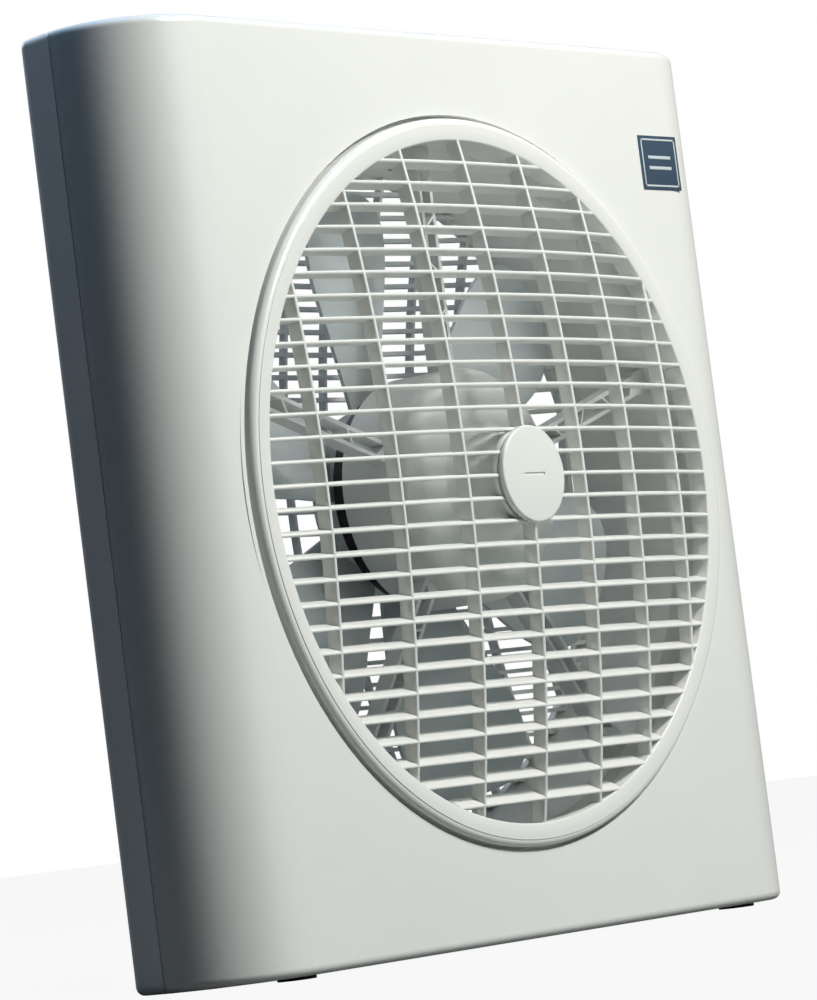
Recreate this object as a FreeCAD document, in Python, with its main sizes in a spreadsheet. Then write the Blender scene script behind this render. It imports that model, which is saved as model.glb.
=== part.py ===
import FreeCAD, Part
import math
import os

import Sketcher
from FreeCAD import Placement, Rotation, Vector

# Box fan: X to the right, Y to the back, Z up, millimetres.
# The origin is on the floor under the middle of the fan.
# "back" sizes are depths measured backwards from the plane of the front ring.

DIMENSIONS = {
    # case
    "body_width": 440, "body_top": 440, "foot_drop": 1.5, "corner_radius": 46,
    "edge_radius": 4, "wall": 2.5, "ring_plane": -45.4, "panel_back": 4,
    "seam_back": 53.5, "rear_back": 78, "rear_corner_radius": 7, "rear_taper": 4,
    "seam_gap": 0.7, "axis_up": 221,
    "opening_radius": 178.5, "duct_radius": 168, "duct_wall": 2.5, "rear_opening_radius": 165,
    "case_screw_across": 188, "case_screw_low": 26, "case_screw_high": 416,
    "case_post_radius": 4.5, "case_screw_radius": 1.6, "post_front": 9, "throat_start": 15,
    "throat_end": 24,
    # turning front grille
    "ring_inner": 165, "ring_outer": 176.5, "ring_depth": 12, "ring_wall": 2,
    "ring_bevel": 2.5, "dome_rise": 17.5, "bar_pitch": 11, "bar_thickness": 2,
    "bar_depth": 8, "rib_pitch": 45, "louvre_focus_back": 400, "louvre_focus_up": 56,
    "boss_radius": 23.5, "boss_front": 17.7, "boss_back": 14, "cap_front": 20.2,
    "cap_mark_length": 16, "cap_mark_width": 1.2, "cap_mark_depth": 0.6,
    # rear grille
    "rear_rise": 33, "rear_bar_depth": 4, "rear_bar_short": 0.3, "rear_rib_pitch": 31,
    "rear_rim_outer": 172, "rear_rim_thickness": 3, "rear_grille_screw_at": 168.5,
    # motor carrier
    "drum_radius": 57, "drum_front": 9, "drum_back": 52, "drum_round": 9,
    "arm_front": 24, "arm_depth": 9, "arm_width": 10, "arm_rail": 2, "arm_end": 167.4,
    "arm_bay": 23, "arm_pad": 12, "lug_depth": 9, "arm_screw_at": 162, "arm_screw_radius": 1.75,
    # main motor
    "shaft_radius": 4, "bell_radius": 52, "bell_wall": 2, "bell_front": 28,
    "bell_back": 62, "stator_radius": 50, "stator_bore": 27, "stator_front": 36,
    "stator_length": 16, "slot_width": 4, "slot_depth": 11, "rotor_radius": 26.5,
    "bearing_radius": 11, "bearing_length": 7, "motor_screw_at": 45.5, "motor_screw_radius": 1.5,
    "lead_across": 9, "lead_back": 36.5, "lead_radius": 1.6,
    # impeller
    "hub_radius": 46, "hub_front": 64.5, "hub_length": 20, "blade_tip": 150,
    "blade_thickness": 2.2, "root_pitch": 16, "tip_pitch": 9, "blade_root_back": 72.5,
    "blade_rake": 15, "blade_bow": 0.08, "blade_turn": 10,
    # grille drive
    "spindle_radius": 3, "bush_radius": 6, "gearmotor_radius": 21, "gearmotor_length": 15,
    "gearmotor_screw_at": 28.5,
    # controls
    "tray_left": 82, "tray_right": 184, "tray_front": 14, "tray_back": 50,
    "tray_depth": 14, "tray_wall": 1.8, "knob_radius": 14, "knob_height": 12.6,
    "speed_at": 102, "timer_at": 138, "rocker_at": 172, "control_back": 32,
    "rocker_tilt": 7, "rocker_drop": 3, "rocker_pin": 1.2, "rocker_play": 0.05,
}

ARMS = 5
BLADES = 6
# Height of a blade section as a share of the tip radius, and its half width.
BLADE_PLAN = ((0.26, 14), (0.48, 25), (0.68, 35), (0.82, 38.5), (0.92, 34), (0.98, 23), (1.0, 11))
BAR_ROWS = 14
RIB_COLUMNS = 3
REAR_ROWS = 14
REAR_COLUMNS = 5
FRONT_UP = Rotation(Vector(1, 0, 0), -90)

doc = FreeCAD.newDocument("box_fan")
sheet = doc.addObject("Spreadsheet::Sheet", "dims")
for row, (alias, number) in enumerate(DIMENSIONS.items(), start=1):
    sheet.set("A%d" % row, alias)
    sheet.set("B%d" % row, str(number))
    sheet.setAlias("B%d" % row, alias)
doc.recompute()

nodes = []
scratch = doc.addObject("Spreadsheet::Sheet", "scratch")


def val(expression):
    """The number an expression on the sheet stands for, worked out in a spare cell."""
    scratch.set("A1", "=" + expression)
    scratch.recompute()
    return float(scratch.get("A1"))


def keep(obj, name):
    """Name a finished piece and list it for export."""
    obj.Label = name
    nodes.append(obj)
    return obj


def bind(obj, **expressions):
    """Tie properties to cells. at_x, at_y and at_z are the place."""
    for prop, expression in expressions.items():
        path = "Placement.Base." + prop[3:] if prop.startswith("at_") else prop
        obj.setExpression(path, str(expression))
    return obj


# ---------------------------------------------------------------- sketches

def origin_plane(body, role):
    for feature in body.Origin.OriginFeatures:
        if feature.Role == role:
            return feature
    raise ValueError(role)


def sketch_on(body, role, name, offset=None):
    """A sketch on one of the body's own origin planes, set off along its normal."""
    sketch = body.newObject("Sketcher::SketchObject", name)
    sketch.AttachmentSupport = [(origin_plane(body, role), "")]
    sketch.MapMode = "FlatFace"
    if offset is not None:
        sketch.setExpression("AttachmentOffset.Base.z", offset)
    return sketch


def fix_point(sketch, geometry, position, x, y):
    """Hold a point by two expressions; a plain 0 puts it on the axis."""
    for kind, axis, expression in (("DistanceX", -2, x), ("DistanceY", -1, y)):
        if expression == "0":
            sketch.addConstraint(Sketcher.Constraint("PointOnObject", geometry, position, axis))
            continue
        number = val(expression)
        index = sketch.addConstraint(
            Sketcher.Constraint(kind, -1, 1, geometry, position, number))
        sketch.setExpression("Constraints[%d]" % index, expression)


def polygon(sketch, corners):
    """A closed outline of straight lines, its corners given as (x, y) expressions."""
    corners = [(str(x), str(y)) for x, y in corners]
    points = [Vector(val(x), val(y), 0) for x, y in corners]
    first = len(sketch.Geometry)
    count = len(points)
    for i in range(count):
        sketch.addGeometry(Part.LineSegment(points[i], points[(i + 1) % count]), False)
    for i in range(count):
        following = first + (i + 1) % count
        sketch.addConstraint(Sketcher.Constraint("Coincident", first + i, 2, following, 1))
    for i, (x, y) in enumerate(corners):
        fix_point(sketch, first + i, 1, x, y)


def circle(sketch, radius, x="0", y="0"):
    """A circle held by its middle and its radius."""
    x, y, radius = str(x), str(y), str(radius)
    geometry = sketch.addGeometry(
        Part.Circle(Vector(val(x), val(y), 0), Vector(0, 0, 1), val(radius)), False)
    fix_point(sketch, geometry, 3, x, y)
    index = sketch.addConstraint(Sketcher.Constraint("Radius", geometry, val(radius)))
    sketch.setExpression("Constraints[%d]" % index, radius)


def rectangle(sketch, left, right, low, high):
    polygon(sketch, [(left, low), (right, low), (right, high), (left, high)])


# ---------------------------------------------------------------- features

def new_body(name, x="0", y="0", z="0"):
    body = doc.addObject("PartDesign::Body", name)
    bind(body, at_x=x, at_y=y, at_z=z)
    return body


def pad(body, sketch, length, reversed_side=False):
    feature = body.newObject("PartDesign::Pad", "Pad")
    feature.Profile = sketch
    feature.Reversed = reversed_side
    feature.setExpression("Length", str(length))
    doc.recompute()
    return feature


def pocket(body, sketch, depth, reversed_side=False):
    """Cut a sketch out, and make sure that the cut took something away."""
    before = body.Shape.Volume
    feature = body.newObject("PartDesign::Pocket", "Pocket")
    feature.Profile = sketch
    feature.Reversed = reversed_side
    feature.setExpression("Length", str(depth))
    doc.recompute()
    if not body.Shape.Volume < before - 1e-6:
        raise RuntimeError("a pocket in %s cuts nothing" % body.Name)
    return feature


def revolve(body, sketch):
    """Turn a sketch on the YZ plane about the body's Y axis."""
    feature = body.newObject("PartDesign::Revolution", "Revolution")
    feature.Profile = sketch
    feature.ReferenceAxis = (sketch, ["H_Axis"])
    feature.Angle = 360
    doc.recompute()
    return feature


def polar(body, feature, count):
    """Repeat a feature about the body's Y axis."""
    pattern = body.newObject("PartDesign::PolarPattern", "PolarPattern")
    pattern.Originals = [feature]
    for axis in body.Origin.OriginFeatures:
        if axis.Role == "Y_Axis":
            pattern.Axis = (axis, [""])
    pattern.Angle = 360
    pattern.Occurrences = count
    body.Tip = pattern
    doc.recompute()
    return pattern


def round_edges(body, radius, wanted):
    """Fillet the edges of the body's tip that a test picks."""
    base = body.Tip
    names = ["Edge%d" % (i + 1) for i, edge in enumerate(base.Shape.Edges) if wanted(edge)]
    if not names:
        raise RuntimeError("no edge to round on " + body.Name)
    feature = body.newObject("PartDesign::Fillet", "Fillet")
    feature.Base = (base, names)
    feature.setExpression("Radius", radius)
    doc.recompute()
    return feature


def turned(name, profile, y="dims.ring_plane", keep_it=True):
    """A round piece on the fan's axis: (depth, radius) corners turned about it."""
    body = new_body(name, y=y, z="dims.axis_up")
    sketch = sketch_on(body, "YZ_Plane", name + "_profile")
    polygon(sketch, profile)
    revolve(body, sketch)
    if keep_it:
        keep(body, name)
    return body


def ring_edge(radius, depth):
    """Test for a full circle of this radius at this depth in a turned body."""
    def wanted(edge):
        curve = edge.Curve
        if not isinstance(curve, Part.Circle):
            return False
        right_size = abs(curve.Radius - radius) < 0.01
        return right_size and abs(edge.Vertexes[0].Point.y - depth) < 0.01
    return wanted


def rod(name, radius, length, x, y, z, rotation=FRONT_UP):
    """A plain round rod, pointing to the back unless turned."""
    part = doc.addObject("Part::Cylinder", name)
    part.Placement = Placement(Vector(), rotation)
    bind(part, Radius=radius, Height=length, at_x=x, at_y=y, at_z=z)
    return part


def block(name, size, corner):
    """A plain box from its size and its lowest corner."""
    part = doc.addObject("Part::Box", name)
    bind(part, Length=size[0], Width=size[1], Height=size[2])
    bind(part, at_x=corner[0], at_y=corner[1], at_z=corner[2])
    return part


def fused(name, parts):
    joined = doc.addObject("Part::MultiFuse", name)
    joined.Shapes = parts
    doc.recompute()
    return joined


def gathered(name, parts):
    """Separate solids that share one node, such as like screws."""
    group = doc.addObject("Part::Compound", name)
    group.Links = parts
    doc.recompute()
    return group


def without(name, base, tool):
    cut = doc.addObject("Part::Cut", name)
    cut.Base = base
    cut.Tool = tool
    doc.recompute()
    return cut


def screw_from_behind(name, x, seat, z, shank, head, length, head_depth):
    """A screw driven from behind: its tip in front of the seat and its head behind it."""
    stem = rod(name + "_stem", shank, length, x, "%s - (%s)" % (seat, length), z)
    cap = rod(name + "_head", head, head_depth, x, seat, z)
    return fused(name, [stem, cap])


def at_angle(radius, turns_of, index):
    """X and Z expressions of a point on the fan's axis circle, from the top round."""
    angle = 90 + 360.0 * index / turns_of
    across = "(%s) * cos(%g deg)" % (radius, angle)
    up = "dims.axis_up + (%s) * sin(%g deg)" % (radius, angle)
    return across, up


# ---------------------------------------------------------------- domed bars

def dome_cap(rim_radius, rise, thickness, margin):
    """A thin domed cap on the Y axis: its rim at y = 0 and its crown at y = -rise."""
    big = (rim_radius ** 2 + rise ** 2) / (2 * rise)
    middle = big - rise
    reach = rim_radius + margin
    corners = []
    for radius in (big, big - thickness):
        edge = Vector(reach, middle - math.sqrt(radius ** 2 - reach ** 2), 0)
        half_angle = math.asin(reach / radius) / 2
        way = Vector(radius * math.sin(half_angle), middle - radius * math.cos(half_angle), 0)
        corners.append((Vector(0, middle - radius, 0), way, edge))
    outer, inner = corners
    wire = Part.Wire([
        Part.Arc(*outer).toShape(),
        Part.LineSegment(outer[2], inner[2]).toShape(),
        Part.Arc(*reversed(inner)).toShape(),
        Part.LineSegment(inner[0], outer[0]).toShape(),
    ])
    return Part.Face(wire).revolve(Vector(), Vector(0, 1, 0), 360)


def dome_depth(rim_radius, rise, radius):
    """How far before the rim plane the dome stands at a radius."""
    big = (rim_radius ** 2 + rise ** 2) / (2 * rise)
    return math.sqrt(big ** 2 - radius ** 2) - (big - rise)


def louvre(up, front, thickness, focus_back, focus_up, reach):
    """A slab through its front edge and the far line all the louvres point at."""
    run = focus_back + front
    tilt = math.degrees(math.atan2(up - focus_up, run))
    slab = Part.makeBox(2 * reach, 60, thickness, Vector(-reach, -30, -thickness / 2))
    slab.rotate(Vector(), Vector(1, 0, 0), -tilt)
    slab.translate(Vector(0, -front, up))
    return slab


def front_bars():
    rim = val("dims.ring_inner")
    rise = val("dims.dome_rise")
    pitch = val("dims.bar_pitch")
    thickness = val("dims.bar_thickness")
    cap = dome_cap(rim, rise, val("dims.bar_depth"), val("dims.ring_wall") / 2)
    slabs = []
    for row in range(-BAR_ROWS, BAR_ROWS + 1):
        up = row * pitch
        slabs.append(louvre(up, dome_depth(rim, rise, abs(up)), thickness,
                            val("dims.louvre_focus_back"), val("dims.louvre_focus_up"), 2 * rim))
    for column in range(-RIB_COLUMNS, RIB_COLUMNS + 1):
        across = column * val("dims.rib_pitch") - thickness / 2
        slabs.append(Part.makeBox(thickness, 80, 4 * rim, Vector(across, -40, -2 * rim)))
    pieces = [cap.common(slab) for slab in slabs]
    return pieces[0].multiFuse(pieces[1:])


def rear_bars():
    rim = val("dims.rear_opening_radius")
    thickness = val("dims.bar_thickness")
    cap = dome_cap(rim, val("dims.rear_rise"), val("dims.rear_bar_depth"),
                   -val("dims.rear_bar_short"))
    slabs = []
    for row in range(-REAR_ROWS, REAR_ROWS + 1):
        up = row * val("dims.bar_pitch") - thickness / 2
        slabs.append(Part.makeBox(4 * rim, 120, thickness, Vector(-2 * rim, -60, up)))
    for column in range(-REAR_COLUMNS, REAR_COLUMNS + 1):
        across = column * val("dims.rear_rib_pitch") - thickness / 2
        slabs.append(Part.makeBox(thickness, 120, 4 * rim, Vector(across, -60, -2 * rim)))
    pieces = [cap.common(slab) for slab in slabs]
    bars = pieces[0].multiFuse(pieces[1:])
    bars.rotate(Vector(), Vector(0, 0, 1), 180)
    return bars


def shaped(name, shape, y, z="dims.axis_up"):
    """A piece whose shape is worked out above, set at its place."""
    part = doc.addObject("Part::Feature", name)
    part.Shape = shape
    bind(part, at_y=y, at_z=z)
    return part


# ---------------------------------------------------------------- case

SEAM_Y = "dims.ring_plane + dims.seam_back"
PANEL_Y = "dims.ring_plane + dims.panel_back"
REAR_Y = "dims.ring_plane + dims.rear_back"
POSTS = [("%s dims.case_screw_across" % side, level)
         for side in ("0 +", "0 -")
         for level in ("dims.case_screw_low", "dims.case_screw_high")]


def shell_block(body, name, closed, corner_radius, taper, open_y):
    """A block with two rounded upright corners, hollowed from its open side."""
    sketch = sketch_on(body, "XY_Plane", name + "_plan", "dims.foot_drop")
    half = "dims.body_width / 2"
    short = "(dims.body_width / 2 - %s)" % taper
    polygon(sketch, [("0 - " + half, open_y), (half, open_y), (short, closed), ("0 - " + short, closed)])
    pad(body, sketch, "dims.body_top - dims.foot_drop")
    closed_y = val(closed)

    def upright(edge):
        start, end = edge.Vertexes[0].Point, edge.Vertexes[-1].Point
        tall = abs(start.z - end.z) > 1
        return tall and abs(start.y - closed_y) < 0.01

    round_edges(body, corner_radius, upright)
    low, high = val("dims.foot_drop"), val("dims.body_top")
    opening = val(open_y)

    def rim(edge):
        levels = [vertex.Point.z for vertex in edge.Vertexes]
        flat = all(abs(level - low) < 0.01 for level in levels)
        flat = flat or all(abs(level - high) < 0.01 for level in levels)
        on_seam = all(abs(vertex.Point.y - opening) < 0.01 for vertex in edge.Vertexes)
        return flat and not on_seam

    round_edges(body, "dims.edge_radius", rim)
    base = body.Tip
    faces = ["Face%d" % (i + 1) for i, face in enumerate(base.Shape.Faces)
             if abs(face.CenterOfMass.y - opening) < 0.01]
    hollow = body.newObject("PartDesign::Thickness", "Thickness")
    hollow.Base = (base, faces)
    hollow.Mode = 0
    hollow.Join = 0
    hollow.Reversed = True
    hollow.setExpression("Value", "dims.wall")
    doc.recompute()


def add_posts(body, name, plane_back, length, toward_front):
    """Four screw posts that reach from the seam to the far wall."""
    sketch = sketch_on(body, "XZ_Plane", name, "0 - (%s)" % plane_back)
    for x, z in POSTS:
        circle(sketch, "dims.case_post_radius", x, z)
    pad(body, sketch, length, not toward_front)


def make_front_cover():
    body = new_body("front_shell")
    shell_block(body, "front_cover", PANEL_Y, "dims.corner_radius", "0", SEAM_Y)
    add_posts(body, "front_posts", SEAM_Y, "dims.seam_back - dims.post_front", True)
    opening = sketch_on(body, "XZ_Plane", "opening", "0 - (%s)" % SEAM_Y)
    circle(opening, "dims.opening_radius", "0", "dims.axis_up")
    pocket(body, opening, "dims.seam_back", True)
    holes = sketch_on(body, "XZ_Plane", "front_post_holes", "0 - (%s)" % SEAM_Y)
    for x, z in POSTS:
        circle(holes, "dims.case_screw_radius", x, z)
    pocket(body, holes, 24, True)
    tray = sketch_on(body, "XY_Plane", "tray_opening", "dims.body_top + 1")
    rectangle(tray, "dims.tray_left", "dims.tray_right",
              "dims.ring_plane + dims.tray_front", "dims.ring_plane + dims.tray_back")
    pocket(body, tray, "dims.wall + 2")
    duct = turned("front_duct", [
        ("dims.panel_back", "dims.opening_radius"),
        ("dims.panel_back", "dims.opening_radius + dims.duct_wall"),
        ("dims.throat_start", "dims.opening_radius + dims.duct_wall"),
        ("dims.throat_end", "dims.duct_radius + dims.duct_wall"),
        ("dims.seam_back", "dims.duct_radius + dims.duct_wall"),
        ("dims.seam_back", "dims.duct_radius"), ("dims.throat_end + 0.5", "dims.duct_radius"),
        ("dims.throat_start + 0.5", "dims.opening_radius"),
    ], keep_it=False)
    lugs = []
    for index in range(ARMS):
        lug = block("lug%d" % index, ("dims.arm_pad", "dims.lug_depth", 10),
                    ("0 - dims.arm_pad / 2", 0, 0))
        turn = 360.0 * index / ARMS
        lug.Placement.Rotation = Rotation(Vector(0, 1, 0), -turn)
        middle = "(dims.duct_radius - 9)"
        half = "dims.arm_pad / 2"
        bind(lug,
             at_x="0 - %s * sin(%g deg) - %s * cos(%g deg)" % (middle, turn, half, turn),
             at_z="dims.axis_up + %s * cos(%g deg) - %s * sin(%g deg)" % (middle, turn, half, turn),
             at_y="dims.ring_plane + dims.arm_front + dims.arm_depth")
        lugs.append(lug)
    whole = fused("front_cover_with_lugs", [body, duct] + lugs)
    bores = [rod("lug_bore%d" % index, "dims.arm_screw_radius", 11,
                 at_angle("dims.arm_screw_at", ARMS, index)[0],
                 "dims.ring_plane + dims.arm_front + dims.arm_depth",
                 at_angle("dims.arm_screw_at", ARMS, index)[1]) for index in range(ARMS)]
    feet = [rod("front_foot_hole%s" % side[0], 3, 6, side + " 170",
                "dims.ring_plane + dims.panel_back + 15", 0, Rotation()) for side in ("0 +", "0 -")]
    lead = rod("duct_lead_hole", 2.2, 20, "dims.lead_across", "dims.ring_plane + dims.lead_back",
               "dims.axis_up + dims.duct_radius - 8", Rotation())
    keep(without("front_cover_node", whole, gathered("front_cover_holes", bores + feet + [lead])),
         "front_cover")


def make_rear_cover():
    body = new_body("rear_shell")
    shell_block(body, "rear_cover", REAR_Y, "dims.rear_corner_radius", "dims.rear_taper",
                SEAM_Y + " + dims.seam_gap")
    add_posts(body, "rear_posts", SEAM_Y, "dims.rear_back - dims.seam_back - 1", False)
    duct = turned("rear_duct", [
        ("dims.seam_back", "dims.duct_radius"),
        ("dims.seam_back", "dims.duct_radius + dims.duct_wall"),
        ("dims.rear_back - dims.wall", "dims.duct_radius + dims.duct_wall"),
        ("dims.rear_back", "dims.duct_radius + dims.duct_wall"),
        ("dims.rear_back", "dims.rear_opening_radius"),
        ("dims.rear_back - dims.wall", "dims.rear_opening_radius"),
    ], keep_it=False)
    hole = rod("rear_opening", "dims.rear_opening_radius", "dims.wall + 2", 0,
               REAR_Y + " - dims.wall - 1", "dims.axis_up")
    walled = fused("rear_cover_walled", [without("rear_cover_open", body, hole), duct])
    tools = []
    for index, (x, z) in enumerate(POSTS):
        tools.append(rod("case_hole%d" % index, "dims.case_screw_radius + 0.2", 40, x, SEAM_Y + " - 1", z))
        tools.append(rod("case_sink%d" % index, 3.7, 10, x, REAR_Y + " - 6", z))
    for index in range(4):
        x, z = rear_screw_place(index)
        tools.append(rod("grille_hole%d" % index, 1.25, 6, x, REAR_Y + " - 4", z))
    for side in ("0 +", "0 -"):
        tools.append(rod("rear_foot_hole%s" % side[0], 3, 6, side + " 170", REAR_Y + " - 10", 0,
                         Rotation()))
    tools.append(rod("gland_hole", 6, 8, "dims.body_width / 2 - 55", REAR_Y + " - 5", 34))
    keep(without("rear_cover_node", walled, gathered("rear_cover_holes", tools)), "rear_cover")


def rear_screw_place(index):
    """Four screws of the rear grille, on the slants between the straight ribs."""
    angle = 45 + 90 * index
    across = "dims.rear_grille_screw_at * cos(%g deg)" % angle
    up = "dims.axis_up + dims.rear_grille_screw_at * sin(%g deg)" % angle
    return across, up


def make_rear_grille():
    rim = turned("rear_rim", [
        ("0", "dims.rear_opening_radius - 2"), ("0", "dims.rear_rim_outer"),
        ("dims.rear_rim_thickness", "dims.rear_rim_outer"),
        ("dims.rear_rim_thickness + 1", "dims.rear_opening_radius - 2"),
    ], y=REAR_Y, keep_it=False)
    bars = shaped("rear_bars", rear_bars(), REAR_Y)
    whole = fused("rear_grille_whole", [rim, bars])
    holes = []
    for index in range(4):
        x, z = rear_screw_place(index)
        holes.append(rod("rim_hole%d" % index, 1.4, 6, x, REAR_Y + " - 1", z))
    keep(without("rear_grille_node", whole, gathered("rear_grille_holes", holes)), "rear_grille")
    screws = []
    for index in range(4):
        x, z = rear_screw_place(index)
        screws.append(screw_from_behind("rear_grille_screw%d" % index, x, REAR_Y + " + 3.6", z,
                                        1.2, 2.6, 7, 1.6))
    keep(gathered("rear_grille_screws_node", screws), "rear_grille_screws")


def make_case_fasteners():
    screws = []
    for index, (x, z) in enumerate(POSTS):
        screws.append(screw_from_behind("case_screw%d" % index, x, REAR_Y + " - 6", z,
                                        "dims.case_screw_radius", 3.4, 38, 2.6))
    keep(gathered("case_screws_node", screws), "case_screws")
    feet = []
    for depth in ("dims.ring_plane + dims.panel_back + 15", REAR_Y + " - 10"):
        for side in ("0 +", "0 -"):
            pad_part = rod("foot_pad", 9, "dims.foot_drop", side + " 170", depth, 0, Rotation())
            stem = rod("foot_stem", 2.9, "dims.foot_drop + dims.wall + 1", side + " 170", depth, 0,
                       Rotation())
            feet.append(fused("foot", [pad_part, stem]))
    keep(gathered("rubber_feet_node", feet), "rubber_feet")
    badge = block("badge", (32, 0.5, 28), (151, PANEL_Y + " - 0.5", "dims.axis_up + 146"))
    keep(badge, "badge")


# ---------------------------------------------------------------- turning grille

def make_front_grille():
    ring = turned("ring", [
        ("0", "dims.ring_inner"), ("0", "dims.ring_outer - dims.ring_bevel"),
        ("dims.ring_bevel", "dims.ring_outer"), ("dims.ring_depth", "dims.ring_outer"),
        ("dims.ring_depth", "dims.ring_outer - dims.ring_wall"),
        ("dims.ring_bevel + 1", "dims.ring_outer - dims.ring_wall"),
        ("dims.ring_wall", "dims.ring_outer - dims.ring_bevel - 1"),
        ("dims.ring_wall", "dims.ring_inner + dims.ring_wall"),
        ("dims.ring_depth - 2", "dims.ring_inner + dims.ring_wall"),
        ("dims.ring_depth - 2", "dims.ring_inner"),
    ], keep_it=False)
    boss = turned("grille_boss", [
        ("0", "0"), ("0", "dims.boss_radius"),
        ("dims.boss_front - dims.boss_back", "dims.boss_radius"),
        ("dims.boss_front - dims.boss_back", "0"),
    ], y="dims.ring_plane - dims.boss_front", keep_it=False)
    bars = shaped("front_bars", front_bars(), "dims.ring_plane")
    hub = rod("grille_hub_space", "dims.boss_radius", 20, 0, "dims.ring_plane - dims.boss_back",
              "dims.axis_up")
    bars_open = without("front_bars_open", bars, hub)
    whole = fused("front_grille_whole", [ring, bars_open, boss])
    bore = rod("grille_bore", "dims.spindle_radius", 8, 0, "dims.ring_plane - dims.boss_front - 1",
               "dims.axis_up")
    head = rod("grille_head_space", 5, 2.4, 0, "dims.ring_plane - dims.boss_front", "dims.axis_up")
    keep(without("front_grille_node", whole, gathered("grille_bores", [bore, head])),
         "front_grille")


def make_grille_cap():
    body = turned("grille_cap_disc", [
        ("0", "0"), ("0", "dims.boss_radius"),
        ("dims.cap_front - dims.boss_front", "dims.boss_radius"),
        ("dims.cap_front - dims.boss_front", "0"),
    ], y="dims.ring_plane - dims.cap_front", keep_it=False)
    round_edges(body, "dims.cap_mark_depth", ring_edge(val("dims.boss_radius"), 0))
    mark = block("cap_mark", ("dims.cap_mark_length", "dims.cap_mark_depth + 1", "dims.cap_mark_width"),
                 ("0 - dims.cap_mark_length / 2", "dims.ring_plane - dims.cap_front - 1",
                  "dims.axis_up - dims.cap_mark_width / 2"))
    keep(without("grille_cap_node", body, mark), "grille_cap")


def make_grille_drive():
    turned("grille_screw", [
        ("0", "0"), ("0", 4), (2, 4), (2, 1.5), (9, 1.5), (9, "0"),
    ], y="dims.ring_plane - dims.boss_front + 0.2")
    turned("grille_spindle", [
        ("0", 1.5), ("0", "dims.spindle_radius"), (33.5, "dims.spindle_radius"),
        (33.5, "0"), (7.5, "0"), (7.5, 1.5),
    ], y="dims.ring_plane - dims.boss_front + 2.4")
    turned("grille_bush", [
        ("0", "dims.spindle_radius + 0.05"), ("0", "dims.bush_radius"),
        (16, "dims.bush_radius"), (16, "dims.spindle_radius + 0.05"),
    ], y="dims.ring_plane - 13.4")
    front = "dims.ring_plane + dims.drum_front + dims.wall + 0.1"
    gearmotor = turned("gearmotor_body", [
        ("0", "dims.spindle_radius + 0.05"), ("0", 33), (1.2, 33), (1.2, "dims.gearmotor_radius"),
        ("dims.gearmotor_length", "dims.gearmotor_radius"), ("dims.gearmotor_length", "0"),
        (8, "0"), (8, "dims.spindle_radius + 0.05"),
    ], y=front, keep_it=False)
    holes = []
    screws = []
    for side in ("0 +", "0 -"):
        across = side + " dims.gearmotor_screw_at"
        holes.append(rod("gearmotor_hole", 1.4, 4, across, front + " - 1", "dims.axis_up"))
        screws.append(screw_from_behind("gearmotor_screw", across, front + " + 1.3", "dims.axis_up",
                                        1.2, 2.4, 4, 1.4))
    drilled("grille_gearmotor", gearmotor, holes)
    keep(gathered("gearmotor_screws_node", screws), "gearmotor_screws")


# ---------------------------------------------------------------- motor carrier

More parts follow.
